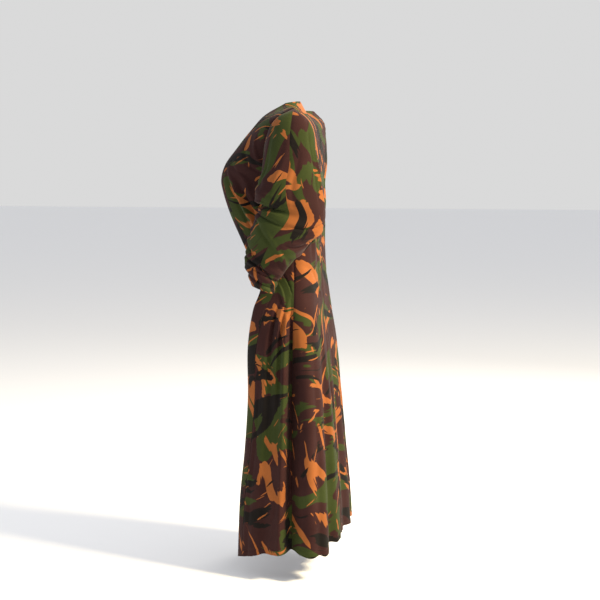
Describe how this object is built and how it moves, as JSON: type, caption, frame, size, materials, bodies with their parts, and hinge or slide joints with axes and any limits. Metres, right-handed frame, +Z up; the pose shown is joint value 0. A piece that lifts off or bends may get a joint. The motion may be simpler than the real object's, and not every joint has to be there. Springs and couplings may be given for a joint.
{
  "type": "kimono robe",
  "caption": "Full-length open robe of kimono cut, worn and hollow, with full pushed-up sleeves, a front band and a folded, flaring skirt in camouflage cloth.",
  "frame": {"origin": "between the shoulders, in the middle of the neck, at the height of the shoulder seams, where the wearer holds the robe up", "axes": "+Z up, the wearer faces -Y, the wearer's left is +X"},
  "size_m": [0.6174, 0.3817, 1.4148],
  "materials": {
    "camouflage_cloth": "printed twill in brown, green, tan and black, dull with a slight sheen",
    "band_cloth": "the same printed twill, folded double and topstitched"
  },
  "bodies": {
    "root": {"front_left": "camouflage_cloth", "front_right": "camouflage_cloth", "back_left": "camouflage_cloth", "back_right": "camouflage_cloth", "band_left": "band_cloth", "band_right": "band_cloth", "band_neck": "band_cloth", "sleeve_left_front": "camouflage_cloth", "sleeve_left_back": "camouflage_cloth", "sleeve_right_front": "camouflage_cloth", "sleeve_right_back": "camouflage_cloth"}
  },
  "joints": []
}
